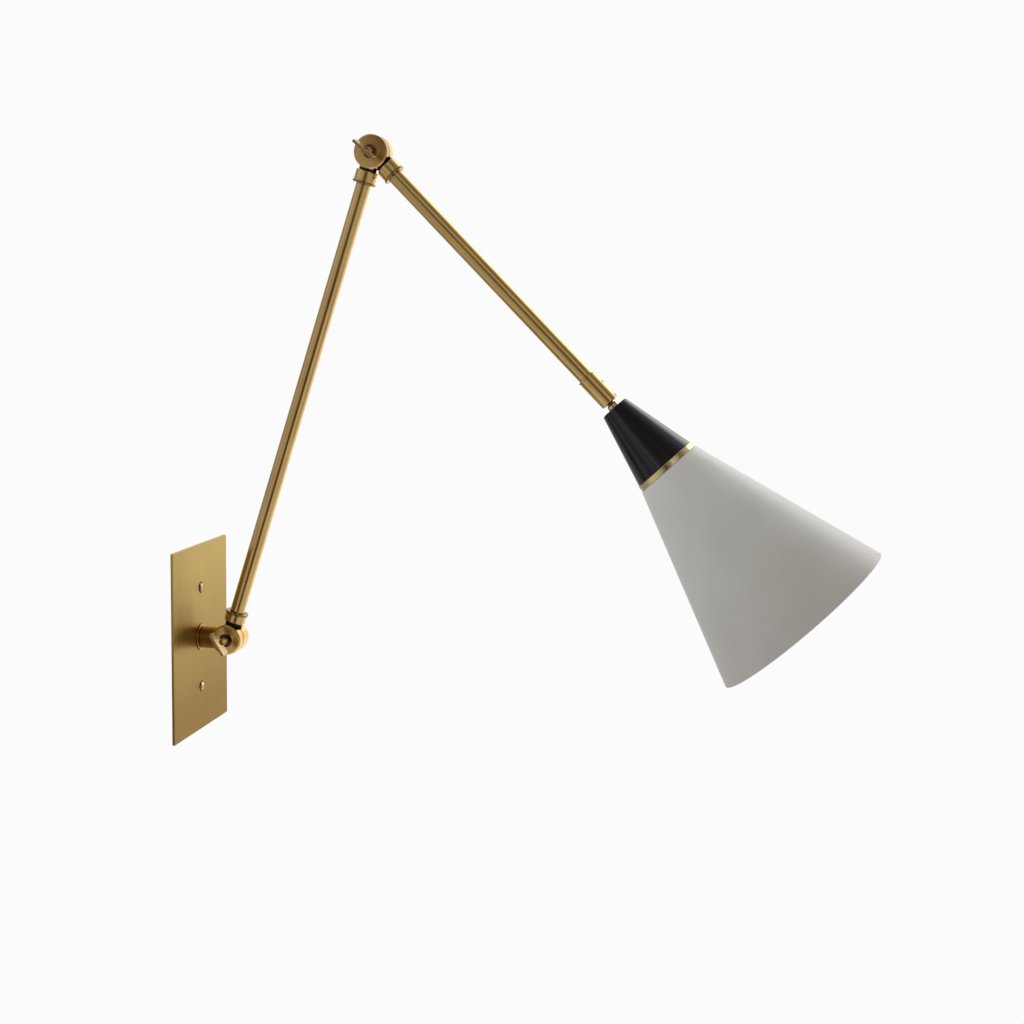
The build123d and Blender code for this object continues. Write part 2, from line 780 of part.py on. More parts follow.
# Screw shell that takes the bulb. Its floor slopes up to the wall above the middle contact.
shell_floor_hole = contact_diameter / 2 + contact_gap
shell_inside = shell_diameter / 2 - shell_wall
shell_end = block_end + shell_length
with BuildPart() as lampholder_shell:
    with BuildSketch(holding(ball_centre, shade_direction)):
        with BuildLine():
            Polyline(
                (shell_floor_hole, block_end),
                (shell_diameter / 2, block_end),
                (shell_diameter / 2, shell_end),
                (shell_inside, shell_end),
                (shell_inside, block_end + shell_wall + shell_floor_bevel),
                (shell_inside - shell_floor_bevel, block_end + shell_wall),
                (shell_floor_hole, block_end + shell_wall),
                close=True,
            )
        make_face()
    revolve(axis=Axis(ball_centre, shade_direction))
lampholder_shell.part.label = "lampholder_shell"
export_step(lampholder_shell.part, "parts/lampholder_shell.step")

with BuildPart() as lampholder_contact:
    with BuildSketch(across(ball_centre, shade_direction, block_end)):
        Circle(contact_diameter / 2)
    extrude(amount=contact_height)
    fillet(lampholder_contact.edges().sort_by(Axis(ball_centre, shade_direction))[-1], contact_round)
lampholder_contact.part.label = "lampholder_contact"
export_step(lampholder_contact.part, "parts/lampholder_contact.step")

# Brass band between the cap and the shade, with an inner web for the lampholder
skirt_hole = skirt_diameter / 2 + seat_clearance
with BuildPart() as shade_band:
    with BuildSketch(holding(ball_centre, shade_direction)) as band_outline:
        with BuildLine():
            Polyline(
                (cap_bottom_diameter / 2 - band_lip, cap_end),
                (band_diameter / 2, cap_end),
                (band_diameter / 2, shade_start),
                (skirt_hole, shade_start),
                (skirt_hole, web_start),
                (cap_bottom_diameter / 2 - band_lip, web_start),
                close=True,
            )
        make_face()
        fillet(band_outline.vertices().group_by(Axis.X)[-1], band_edge)
    revolve(axis=Axis(ball_centre, shade_direction))
shade_band.part.label = "shade_band"
export_step(shade_band.part, "parts/shade_band.step")

# Shade: a thin cone with an inner flange at its top and a hem at its mouth
shade_end = shade_start + shade_length
shade_slope = (shade_mouth_diameter - shade_top_diameter) / 2 / shade_length
side_wall = shade_wall * sqrt(1 + shade_slope**2)
mouth_inner = shade_mouth_diameter / 2 - side_wall
hem_start = shade_end - hem_width
with BuildPart() as shade:
    with BuildSketch(holding(ball_centre, shade_direction)) as shade_outline:
        with BuildLine():
            Polyline(
                (skirt_hole, shade_start),
                (shade_top_diameter / 2, shade_start),
                (shade_mouth_diameter / 2, shade_end),
                (mouth_inner - hem_thickness, shade_end),
                (mouth_inner - hem_thickness - shade_slope * hem_width, hem_start),
                (mouth_inner - shade_slope * hem_width, hem_start),
                (shade_top_diameter / 2 - side_wall + shade_slope * shade_wall, shade_start + shade_wall),
                (skirt_hole, shade_start + shade_wall),
                close=True,
            )
        make_face()
        mouth_corners = shade_outline.vertices().sort_by(Axis.Y)[-2:]
        fillet(mouth_corners, hem_thickness)
    revolve(axis=Axis(ball_centre, shade_direction))
shade.part.label = "shade"
export_step(shade.part, "parts/shade.step")

# Ring nut that clamps the shade and the band to the lampholder
shade_nut_start = shade_start + shade_wall
with BuildPart() as shade_ring_nut:
    with BuildSketch(across(ball_centre, shade_direction, shade_nut_start)):
        Circle(shade_nut_diameter / 2)
        Circle(skirt_hole, mode=Mode.SUBTRACT)
        with PolarLocations(shade_nut_diameter / 2, shade_nut_grips):
            Circle(shade_nut_grip_diameter / 2, mode=Mode.SUBTRACT)
    extrude(amount=shade_nut_height)
shade_ring_nut.part.label = "shade_ring_nut"
export_step(shade_ring_nut.part, "parts/shade_ring_nut.step")

print("elbow pivot", elbow_pivot)
print("ball centre", ball_centre)
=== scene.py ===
import json
import math

import bmesh
import bpy
from mathutils import Matrix, Vector


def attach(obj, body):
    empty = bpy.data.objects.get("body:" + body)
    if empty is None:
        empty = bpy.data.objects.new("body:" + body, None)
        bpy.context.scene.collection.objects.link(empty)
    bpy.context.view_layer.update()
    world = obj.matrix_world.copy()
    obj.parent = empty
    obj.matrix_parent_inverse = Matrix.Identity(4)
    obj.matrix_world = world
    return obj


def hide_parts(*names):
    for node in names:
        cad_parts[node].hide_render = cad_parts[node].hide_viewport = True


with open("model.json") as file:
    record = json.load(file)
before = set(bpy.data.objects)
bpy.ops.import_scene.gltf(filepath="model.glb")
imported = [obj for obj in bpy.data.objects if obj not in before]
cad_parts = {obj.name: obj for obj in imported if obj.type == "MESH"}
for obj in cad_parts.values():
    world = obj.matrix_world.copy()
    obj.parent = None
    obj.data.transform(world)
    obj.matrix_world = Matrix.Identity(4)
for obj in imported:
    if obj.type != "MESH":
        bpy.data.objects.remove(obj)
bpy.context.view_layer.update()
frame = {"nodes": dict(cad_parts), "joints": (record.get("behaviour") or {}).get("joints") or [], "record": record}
scene = bpy.context.scene
scene.view_settings.view_transform = "Standard"
scene.view_settings.look = "None"
mm = 0.001
joints = {joint["name"]: joint for joint in frame["joints"]}
mounts = {mount["name"]: mount for mount in frame["record"]["mounts"]}
bodies = frame["record"]["behaviour"]["bodies"]
bodyOfNode = {node: body for body, nodes in bodies.items() for node in nodes}

# Pivots and directions of the lamp, all from the frame
basePivot = Vector(joints["base_hinge"]["pos_m"])
elbowPivot = Vector(joints["elbow_hinge"]["pos_m"])
ballCentre = Vector(joints["shade_tilt"]["pos_m"])
lowerAxis = (elbowPivot - basePivot).normalized()
upperAxis = Vector(joints["barrel_turn"]["axis"]).normalized()
shadeAxis = Vector(mounts["lamp_socket"]["axis"]).normalized()
wallAxis = Vector((0, 1, 0))
hingeAxis = Vector((1, 0, 0))
upwards = Vector((0, 0, 1))
origin = Vector((0, 0, 0))


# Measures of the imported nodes
def nodePoints(node):
    return [v.co for v in frame["nodes"][node].data.vertices]


def offAxis(point, start, axis):
    # a point's place along an axis, and its distance from it
    along = (point - start).dot(axis)
    return along, (point - start - axis * along).length


def nodeSpan(node, start, axis):
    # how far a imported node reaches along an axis, and its smallest and largest radius about it
    places, radii = zip(*(offAxis(p, start, axis) for p in nodePoints(node)))
    return min(places), max(places), min(radii), max(radii)


def wallSpan(node):
    return nodeSpan(node, origin, wallAxis)


def shadeSpan(node):
    return nodeSpan(node, ballCentre, shadeAxis)


def topRadius(node, reach):
    # the largest radius of a piece of the shade within reach of its end near the ball
    low = shadeSpan(node)[0]
    measured = [offAxis(p, ballCentre, shadeAxis) for p in nodePoints(node)]
    return max(radius for along, radius in measured if along < low + reach)


# Turned and pressed shapes
def roundedOutline(corners, closed=True, steps=5):
    # corners are (radius, along, rounding); each rounding becomes an arc tangent to both sides
    points = []
    for i, (r, a, rounding) in enumerate(corners):
        here = Vector((r, a))
        if rounding <= 0 or (not closed and i in (0, len(corners) - 1)):
            points.append(here)
            continue
        back = (Vector(corners[i - 1][:2]) - here).normalized()
        ahead = (Vector(corners[(i + 1) % len(corners)][:2]) - here).normalized()
        half = back.angle(ahead) / 2
        centre = here + (back + ahead).normalized() * rounding / math.sin(half)
        first = here + back * rounding / math.tan(half) - centre
        last = here + ahead * rounding / math.tan(half) - centre
        sweep = first.angle_signed(last)
        for k in range(steps + 1):
            points.append(centre + Matrix.Rotation(-sweep * k / steps, 2) @ first)
    return points


def divided(points, low, high, step):
    # adds points on the straight runs between two places along the axis, for a thread
    touching = 1e-7
    result = []
    for i, here in enumerate(points):
        result.append(here)
        ahead = points[(i + 1) % len(points)]
        inside = min(here.y, ahead.y) >= low - touching and max(here.y, ahead.y) <= high + touching
        count = int(abs(ahead.y - here.y) / step) if inside else 0
        result += [here.lerp(ahead, k / count) for k in range(1, count)]
    return result


def threadOn(start, end, radius, pitch, depth, fade=1.0, reach=0.6):
    # a thread that fades in and out over a number of turns at each end, for turned() to use;
    # reach is how far below the radius a point still follows it, as a share of the depth
    bottom = radius - depth * reach

    def shape(r, along, turn):
        if r < bottom or along < start or along > end:
            return r
        ends = min(along - start, end - along) / (fade * pitch)
        wave = 0.5 - 0.5 * math.cos(math.tau * (along / pitch - turn))
        return r - depth * wave * min(1.0, ends)

    return shape


def turned(name, outline, start, axis, closed=True, segments=96, shape=None):
    # turns an outline of (radius, along) points about an axis; shape may change the radius
    onAxis = 1e-7
    side = axis.orthogonal().normalized()
    other = axis.cross(side)
    points, rings, faces = [], [], []
    for p in outline:
        if p.x < onAxis:
            rings.append([len(points)] * segments)
            points.append(start + axis * p.y)
            continue
        rings.append(list(range(len(points), len(points) + segments)))
        for i in range(segments):
            turn = i / segments
            r = shape(p.x, p.y, turn) if shape else p.x
            outward = side * math.cos(turn * math.tau) + other * math.sin(turn * math.tau)
            points.append(start + axis * p.y + outward * r)
    for a, b in list(zip(rings, rings[1:])) + ([(rings[-1], rings[0])] if closed else []):
        for i in range(segments):
            j = (i + 1) % segments
            face = list(dict.fromkeys((a[i], a[j], b[j], b[i])))
            if len(face) > 2:
                faces.append(face)
    mesh = bpy.data.meshes.new(name)
    mesh.from_pydata(points, [], faces)
    work = bmesh.new()
    work.from_mesh(mesh)
    bmesh.ops.recalc_face_normals(work, faces=work.faces)
    return placed(name, work, mesh)


def pressedBlock(name, corners, thickness, centre, along, across, softness):
    # a flat block from an outline in the plane of along and across, with softened edges
    normal = along.cross(across).normalized()
    work = bmesh.new()
    lowered = centre - normal * thickness / 2
    rim = [work.verts.new(lowered + along * a + across * b) for a, b in corners]
    raised = bmesh.ops.extrude_face_region(work, geom=[work.faces.new(rim)])
    moved = [v for v in raised["geom"] if isinstance(v, bmesh.types.BMVert)]
    bmesh.ops.translate(work, verts=moved, vec=normal * thickness)
    bmesh.ops.recalc_face_normals(work, faces=work.faces)
    bmesh.ops.bevel(
        work, geom=list(work.edges), offset=softness, segments=3, profile=0.5, affect="EDGES",
        clamp_overlap=True,
    )
    return placed(name, work, bpy.data.meshes.new(name))


def placed(name, work, mesh):
    # a worked mesh becomes an object in the scene
    work.to_mesh(mesh)
    work.free()
    piece = bpy.data.objects.new(name, mesh)
    scene.collection.objects.link(piece)
    return piece


def cutAway(piece, cutter):
    # a boolean that is applied at once, so that the piece stays one clean skin
    cut = piece.modifiers.new("cut", "BOOLEAN")
    cut.operation = "DIFFERENCE"
    cut.solver = "EXACT"
    cut.object = cutter
    bpy.context.view_layer.update()
    evaluated = piece.evaluated_get(bpy.context.evaluated_depsgraph_get())
    mesh = bpy.data.meshes.new_from_object(evaluated)
    piece.modifiers.clear()
    piece.data = mesh
    bpy.data.objects.remove(cutter)
    return piece


def smoothed(piece, angle):
    # smooth shading that keeps corners over the angle, with normals that follow the larger faces
    mesh = piece.data
    mesh.shade_smooth()
    work = bmesh.new()
    work.from_mesh(mesh)
    for edge in work.edges:
        sharp = len(edge.link_faces) == 2 and edge.calc_face_angle(0) > math.radians(angle)
        edge.smooth = not sharp
    work.to_mesh(mesh)
    work.free()
    weighted = piece.modifiers.new("even normals", "WEIGHTED_NORMAL")
    weighted.keep_sharp = True
    return piece


finishOf = {}  # the material of each node, filled below
replacedNodes = []


def dress(piece, node):
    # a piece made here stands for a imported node: it rides on the same body and takes its slot
    piece.data.materials.clear()
    piece.data.materials.append(finishOf[node])
    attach(piece, bodyOfNode[node])
    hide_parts(node)
    replacedNodes.append(node)


def turnedPiece(name, node, outline, start, axis, angle=35, **options):
    dress(smoothed(turned(name, outline, start, axis, **options), angle), node)


# Materials: colours as hex, one function that adds a node, and a start for every finish
def linear(hexColour):
    channels = [int(hexColour[i : i + 2], 16) / 255 for i in (1, 3, 5)]
    lit = [c / 12.92 if c <= 0.04045 else ((c + 0.055) / 1.055) ** 2.4 for c in channels]
    return (*lit, 1.0)


def addNode(tree, kind, settings=None, links=None):
    node = tree.nodes.new(kind)
    for key, value in (settings or {}).items():
        if isinstance(key, int) or key in node.inputs:
            node.inputs[key].default_value = value
        else:
            setattr(node, key, value)
    for key, source in (links or {}).items():
        tree.links.new(source, node.inputs[key])
    return node


def startMaterial(name):
    material = bpy.data.materials.new(name)
    material.use_nodes = True
    tree = material.node_tree
    tree.nodes.clear()
    output = addNode(tree, "ShaderNodeOutputMaterial")
    place = addNode(tree, "ShaderNodeTexCoord").outputs["Object"]
    return material, tree, output, place


noiseLow, noiseHigh = 0.3, 0.7  # most of a noise's values lie between these


def axisTurn(axis):
    # the turn that takes Z to an axis
    return axis.to_track_quat("Z", "Y").to_euler()


# light is lacquered brass where hands keep it clean, toned its brown toning in soft clouds, the
# corner colour a painted shade laid where ambient occlusion finds corners, and edgeTint the cream it pales to at a
# glancing angle; all in mm
brassCommon = {
    "light": "#D0AD6B",
    "toned": "#AE8B54",
    "toneShare": 0.5,
    "cavity": "#2E1B08",
    "cavityReach": 3.5,
    "cornerShadeCore": 0.3,
    "cavityEdge": 0.8,
    "cornerShadeShare": 0.95,
    "edgeTint": "#FFF4E0",
    "grain": (1.6, 45),  # width across and length along the axis
    "cloud": (14.0, 42.0),
    "cloudRange": (0.35, 0.7),
    "roughness": 0.14,
    "spread": 0.05,
    "bump": 0.004,
    "anisotropic": 0.0,
    "lacquer": 0.6,
    "lacquerRoughness": 0.1,
    "streak": (0.9, 1.06),
    "stains": [],
}


def brass(name, changes):
    # brass, tinted warm by age; the grain runs where the tool or the cloth ran
    s = {**brassCommon, **changes}
    material, tree, output, place = startMaterial(name)
    patterns = []
    for (across, along), detail, fineness in ((s["grain"], 5.0, 0.6), (s["cloud"], 3.0, 0.55)):
        stretched = addNode(
            tree, "ShaderNodeMapping",
            {"vector_type": "TEXTURE", "Location": s["start"], "Rotation": axisTurn(s["axis"]),
             "Scale": (across * mm, across * mm, along * mm)},
            {"Vector": place},
        )
        noise = addNode(
            tree, "ShaderNodeTexNoise", {"Scale": 1.0, "Detail": detail, "Roughness": fineness},
            {"Vector": stretched.outputs[0]},
        )
        patterns.append(noise.outputs[0])
    grain, cloud = patterns
    cloudLow, cloudHigh = s["cloudRange"]
    toneShare = addNode(
        tree, "ShaderNodeMapRange",
        {"From Min": cloudLow, "From Max": cloudHigh, "To Max": s["toneShare"]}, {"Value": cloud},
    ).outputs[0]
    toned = addNode(
        tree, "ShaderNodeMix", {"data_type": "RGBA", 6: linear(s["light"]), 7: linear(s["toned"])},
        {0: toneShare},
    ).outputs[2]
    for paintedShade in s["stains"]:
        # painted shade between two places along an axis, or round a place if it has no axis
        if "along" in paintedShade:
            measure, toward = "DOT_PRODUCT", paintedShade["along"]
            zero = paintedShade["place"].dot(toward)
        else:
            measure, toward, zero = "DISTANCE", paintedShade["place"], 0.0
        reach = addNode(tree, "ShaderNodeVectorMath", {"operation": measure, 1: toward}, {0: place})
        share = addNode(
            tree, "ShaderNodeMapRange",
            {"From Min": zero + paintedShade["begin"] * mm, "From Max": zero + paintedShade["full"] * mm},
            {"Value": reach.outputs["Value"]},
        ).outputs[0]
        toned = addNode(
            tree, "ShaderNodeMix", {"data_type": "RGBA", 7: linear(paintedShade["colour"])},
            {0: share, 6: toned},
        ).outputs[2]
    darkStreak, paleStreak = s["streak"]
    streak = addNode(
        tree, "ShaderNodeMapRange",
        {"From Min": noiseLow, "From Max": noiseHigh, "To Min": darkStreak, "To Max": paleStreak},
        {"Value": grain},
    ).outputs[0]
    streaked = addNode(
        tree, "ShaderNodeMix", {"data_type": "RGBA", "blend_type": "MULTIPLY", 0: 1.0},
        {6: toned, 7: streak},
    ).outputs[2]
    # painted shade: where ambient occlusion finds a corner, recess or gap, the colour is painted towards a dark
    # shade colour
    corner = addNode(
        tree, "ShaderNodeAmbientOcclusion", {"samples": 8, "Distance": s["cavityReach"] * mm}
    ).outputs[1]
    cornerShadeAmount = addNode(
        tree, "ShaderNodeMapRange",
        {"interpolation_type": "SMOOTHSTEP", "From Min": s["cornerShadeCore"],
         "From Max": s["cavityEdge"], "To Min": s["cornerShadeShare"], "To Max": 0.0},
        {"Value": corner},
    ).outputs[0]
    colour = addNode(
        tree, "ShaderNodeMix", {"data_type": "RGBA", 7: linear(s["cavity"])},
        {0: cornerShadeAmount, 6: streaked},
    ).outputs[2]
    rough = addNode(
        tree, "ShaderNodeMapRange",
        {"From Min": noiseLow, "From Max": noiseHigh, "To Min": s["roughness"] - s["spread"],
         "To Max": s["roughness"] + s["spread"]},
        {"Value": grain},
    ).outputs[0]
    relief = addNode(
        tree, "ShaderNodeBump", {"Strength": 1.0, "Distance": s["bump"] * mm}, {"Height": grain}
    ).outputs[0]
    shader = addNode(
        tree, "ShaderNodeBsdfPrincipled",
        {"Metallic": 1.0, "Specular Tint": linear(s["edgeTint"]), "Anisotropic": s["anisotropic"],
         "Coat Weight": s["lacquer"], "Coat Roughness": s["lacquerRoughness"]},
        {"Base Color": colour, "Roughness": rough, "Normal": relief},
    )
    tree.links.new(shader.outputs[0], output.inputs[0])
    return material


# the enamel drifts a little between darker and paler clouds, and between duller and glossier ones
enamelCommon = {
    "cloud": 45,
    "cloudRange": (0.35, 0.65),
    "cloudTint": (0.97, 1.02),
    "spread": 0.1,
}


def enamel(name, changes):
    # sprayed and baked paint: an even colour with the faint orange peel that spray leaves
    s = {**enamelCommon, **changes}
    material, tree, output, place = startMaterial(name)
    low, high = nodeSpan(s["nodes"][0], origin, shadeAxis)[:2]
    # painted shade: the colour darkens from the ball's end to the mouth along the shade's axis
    along = addNode(
        tree, "ShaderNodeVectorMath", {"operation": "DOT_PRODUCT", 1: shadeAxis}, {0: place}
    )
    mouthShadeShare = addNode(
        tree, "ShaderNodeMapRange", {"From Min": low, "From Max": high},
        {"Value": along.outputs["Value"]},
    ).outputs[0]
    aged = addNode(
        tree, "ShaderNodeMix", {"data_type": "RGBA", 6: linear(s["colour"]), 7: linear(s["aged"])},
        {0: mouthShadeShare},
    ).outputs[2]
    peel = addNode(
        tree, "ShaderNodeTexNoise",
        {"Scale": 1 / (s["peel"] * mm), "Detail": 2.0, "Roughness": 0.4}, {"Vector": place},
    ).outputs[0]
    wide = addNode(
        tree, "ShaderNodeTexNoise",
        {"Scale": 1 / (s["cloud"] * mm), "Detail": 3.0, "Roughness": 0.5}, {"Vector": place},
    ).outputs[0]
    cloudLow, cloudHigh = s["cloudRange"]
    darker, paler = s["cloudTint"]
    tint = addNode(
        tree, "ShaderNodeMapRange",
        {"From Min": cloudLow, "From Max": cloudHigh, "To Min": darker, "To Max": paler},
        {"Value": wide},
    ).outputs[0]
    colour = addNode(
        tree, "ShaderNodeMix", {"data_type": "RGBA", "blend_type": "MULTIPLY", 0: 1.0},
        {6: aged, 7: tint},
    ).outputs[2]
    rough = addNode(
        tree, "ShaderNodeMapRange",
        {"From Min": noiseLow, "From Max": noiseHigh, "To Min": (1 - s["spread"]) * s["roughness"],
         "To Max": (1 + s["spread"]) * s["roughness"]},
        {"Value": wide},
    ).outputs[0]
    relief = addNode(
        tree, "ShaderNodeBump", {"Strength": 1.0, "Distance": s["relief"] * mm}, {"Height": peel}
    ).outputs[0]
    shader = addNode(
        tree, "ShaderNodeBsdfPrincipled", {"Metallic": 0.0, "IOR": 1.5},
        {"Base Color": colour, "Roughness": rough, "Normal": relief},
    )
    tree.links.new(shader.outputs[0], output.inputs[0])
    return material


plasticCommon = {"cloud": 9, "dustRange": (0.4, 0.75), "dustShare": 0.35, "spread": 0.06}


def mouldedPlastic(name, changes):
    # moulded plastic: dull, with fine grit from the mould and a little dust in clouds
    s = {**plasticCommon, **changes}
    material, tree, output, place = startMaterial(name)
    fine = addNode(
        tree, "ShaderNodeTexNoise",
        {"Scale": 1 / (s["grit"] * mm), "Detail": 3.0, "Roughness": 0.6}, {"Vector": place},
    ).outputs[0]
    cloud = addNode(
        tree, "ShaderNodeTexNoise", {"Scale": 1 / (s["cloud"] * mm), "Detail": 2.0},
        {"Vector": place},
    ).outputs[0]
    dustLow, dustHigh = s["dustRange"]
    share = addNode(
        tree, "ShaderNodeMapRange",
        {"From Min": dustLow, "From Max": dustHigh, "To Max": s["dustShare"]}, {"Value": cloud},
    ).outputs[0]
    colour = addNode(
        tree, "ShaderNodeMix", {"data_type": "RGBA", 6: linear(s["colour"]), 7: linear(s["dust"])},
        {0: share},
    ).outputs[2]
    rough = addNode(
        tree, "ShaderNodeMapRange",
        {"From Min": noiseLow, "From Max": noiseHigh, "To Min": s["roughness"] - s["spread"],
         "To Max": s["roughness"] + s["spread"]},
        {"Value": fine},
    ).outputs[0]
    relief = addNode(
        tree, "ShaderNodeBump", {"Strength": 1.0, "Distance": s["relief"] * mm}, {"Height": fine}
    ).outputs[0]
    shader = addNode(
        tree, "ShaderNodeBsdfPrincipled", {"IOR": 1.52},
        {"Base Color": colour, "Roughness": rough, "Normal": relief},
    )
    tree.links.new(shader.outputs[0], output.inputs[0])
    return material


platedCommon = {
    "rings": (20, 0.3),
    "relief": 0.004,
    "cloud": 6,
    "dullRange": (0.45, 0.75),
    "dullShare": 0.6,
    "smoother": 0.07,
    "rougher": 0.1,
}


def platedMetal(name, changes):
    # plated metal with faint rings from turning or rolling, and a few duller stains
    s = {**platedCommon, **changes}
    material, tree, output, place = startMaterial(name)
    across, along = s["rings"]
    ringPlace = addNode(
        tree, "ShaderNodeMapping",
        {"vector_type": "TEXTURE", "Location": s["start"], "Rotation": axisTurn(s["axis"]),
         "Scale": (across * mm, across * mm, along * mm)},
        {"Vector": place},
    ).outputs[0]
    rings = addNode(
        tree, "ShaderNodeTexNoise", {"Scale": 1.0, "Detail": 4.0, "Roughness": 0.65},
        {"Vector": ringPlace},
    ).outputs[0]
    stains = addNode(
        tree, "ShaderNodeTexNoise",
        {"Scale": 1 / (s["cloud"] * mm), "Detail": 4.0, "Roughness": 0.6}, {"Vector": place},
    ).outputs[0]
    dullLow, dullHigh = s["dullRange"]
    share = addNode(
        tree, "ShaderNodeMapRange",
        {"From Min": dullLow, "From Max": dullHigh, "To Max": s["dullShare"]}, {"Value": stains},
    ).outputs[0]
    colour = addNode(
        tree, "ShaderNodeMix", {"data_type": "RGBA", 6: linear(s["colour"]), 7: linear(s["dull"])},
        {0: share},
    ).outputs[2]
    rough = addNode(
        tree, "ShaderNodeMapRange",
        {"From Min": noiseLow, "From Max": noiseHigh, "To Min": s["roughness"] - s["smoother"],
         "To Max": s["roughness"] + s["rougher"]},
        {"Value": stains},
    ).outputs[0]
    relief = addNode(
        tree, "ShaderNodeBump", {"Strength": 1.0, "Distance": s["relief"] * mm}, {"Height": rings}
    ).outputs[0]
    shader = addNode(
        tree, "ShaderNodeBsdfPrincipled", {"Metallic": 1.0},
        {"Base Color": colour, "Roughness": rough, "Normal": relief},
    )
    tree.links.new(shader.outputs[0], output.inputs[0])
    return material


# What each finish covers. A painted shade begins and is full at places in mm, measured from its place
# along its axis, or round its place if it has no axis
plateFront = min(p.y for p in nodePoints("backplate"))
plateFace = Vector((0, plateFront, 0))
screwSpacing = mounts["wall_screws"]["dims"]["pcd_mm"] * mm
# a painted shadow ring round each screw head on the plate
screwShadowRing = {"begin": 5.6, "full": 4.6, "colour": "#3A2209"}
brassFinishes = {
    # belt marks run down the plate; it is painted darker towards its foot as painted shade, and has a painted
    # shadow ring round each screw; the marks are drawn about 2 mm wide, coarser than real ones, so that they show
    "belt_brushed_brass": {
        "nodes": ["backplate"], "start": origin, "axis": upwards,
        "light": "#B59C5E", "toned": "#A98E50", "grain": (2.0, 90), "roughness": 0.36,
        "spread": 0.07, "bump": 0.010, "toneShare": 0.3, "anisotropic": 0.7, "lacquer": 0.0,
        "streak": (0.84, 1.1),
        "stains": [
            {"begin": 70, "full": -65, "colour": "#876833", "place": origin, "along": upwards},
            {**screwShadowRing, "place": plateFace + upwards * screwSpacing / 2},
            {**screwShadowRing, "place": plateFace - upwards * screwSpacing / 2},
        ],
    },
    # turned rings go round the post; it is painted darker towards the plate and deep in its corners, as painted
    # shade
    "hand_rubbed_brass_post": {
        "nodes": ["post", "post_ring"], "start": basePivot, "axis": wallAxis,
        "light": "#D6B16C", "toned": "#BC9656", "grain": (5.0, 1.2), "roughness": 0.25,
        "cavity": "#4A2F10", "cavityReach": 7.0, "cavityEdge": 0.9, "lacquer": 0.2,
        "stains": [
            {"begin": 8, "full": 14, "colour": "#A47A3E", "place": basePivot, "along": wallAxis},
        ],
    },
    # a cloth drawn along the tubes leaves long soft streaks under the lacquer
    "hand_rubbed_brass_lower_arm": {
        "nodes": ["lower_tube"], "start": basePivot, "axis": lowerAxis,
    },
    "hand_rubbed_brass_upper_arm": {
        "nodes": ["upper_tube", "swivel_barrel"], "start": elbowPivot, "axis": upperAxis,
    },
    # small turned heads, paler than the plate, with a painted shadow line where they meet it
    "polished_brass_wall_screws": {
        "nodes": ["mounting_screws"], "start": origin, "axis": wallAxis,
        "light": "#CDB58C", "toned": "#B39A6B", "grain": (3.0, 1.0), "roughness": 0.25,
        "bump": 0.003, "toneShare": 0.3, "cavityReach": 1.0,
        "stains": [
            {"begin": -1.1, "full": -0.5, "colour": "#3A2209", "place": plateFace,
             "along": wallAxis},
        ],
    },
    # fine rings from turning, the brightest brass on the lamp
    "polished_brass_band": {
        "nodes": ["shade_band", "swivel_ball", "shade_neck"], "start": ballCentre,
        "axis": shadeAxis, "light": "#CDB488", "toned": "#AE9362", "grain": (6.0, 0.7),
        "roughness": 0.15, "spread": 0.04, "bump": 0.003, "toneShare": 0.2,
    },
}
# the pivot of each arm's end, and the direction from it along the arm
armEnds = {
    "base": (basePivot, lowerAxis),
    "elbow_lower": (elbowPivot, -lowerAxis),
    "elbow_upper": (elbowPivot, upperAxis),
}
elbowShadedSide = Vector((0, -0.8, 0.6))
for end, (pivot, arm) in armEnds.items():
    knuckle, collar = end + "_knuckle", end + "_collar"
    # the disc is the part of a knuckle behind its pivot, and the neck before it is painted near black as painted
    # shade
    neck = -nodeSpan(knuckle, pivot, arm)[0] / mm
    brassFinishes["turned_brass_" + knuckle] = {
        "nodes": [knuckle], "start": pivot, "axis": hingeAxis,
        "light": "#DEB774", "toned": "#C49B5B", "grain": (4.0, 0.9), "roughness": 0.3,
        "lacquer": 0.4, "cavityReach": 6.0,
        "stains": [
            {"begin": neck - 0.9, "full": neck + 0.1, "colour": "#120B05", "place": pivot,
             "along": arm},
        ],
    }
    # the lip at the tube's end of each collar is painted darker than its body, as painted shade
    lip = nodeSpan(collar, pivot, arm)[1] / mm
    brassFinishes["hand_rubbed_brass_" + collar] = {
        "nodes": [collar], "start": pivot, "axis": arm,
        "stains": [
            {"begin": lip - 2.4, "full": lip - 1.6, "colour": "#8A6B36", "place": pivot,
             "along": arm},
        ],
    }
# the elbow's face is painted darker towards its upper front, as painted shade
brassFinishes["turned_brass_elbow_lower_knuckle"]["stains"].insert(
    0, {"begin": -9, "full": 15, "colour": "#946930", "place": elbowPivot, "along": elbowShadedSide}
)
for screw, pivot, recessShade in (
    ("base_thumb_screw", basePivot, "#4A2A0C"), ("elbow_thumb_screw", elbowPivot, "#8A683A"),
):
    # the blade is darker, the shank is painted pale as a painted highlight, and its foot in the recess is painted
    # dark as painted shade
    brassFinishes["polished_brass_" + screw] = {
        "nodes": [screw], "start": pivot, "axis": hingeAxis,
        "light": "#EBDCB8", "toned": "#D6C296", "grain": (3.0, 6.0), "roughness": 0.36,
        "bump": 0.003, "toneShare": 0.3, "cavityReach": 1.0,
        "stains": [
            {"begin": -21, "full": -24, "colour": "#A08152", "place": pivot, "along": hingeAxis},
            {"begin": -12, "full": -10.5, "colour": recessShade, "place": pivot, "along": hingeAxis},
        ],
    }
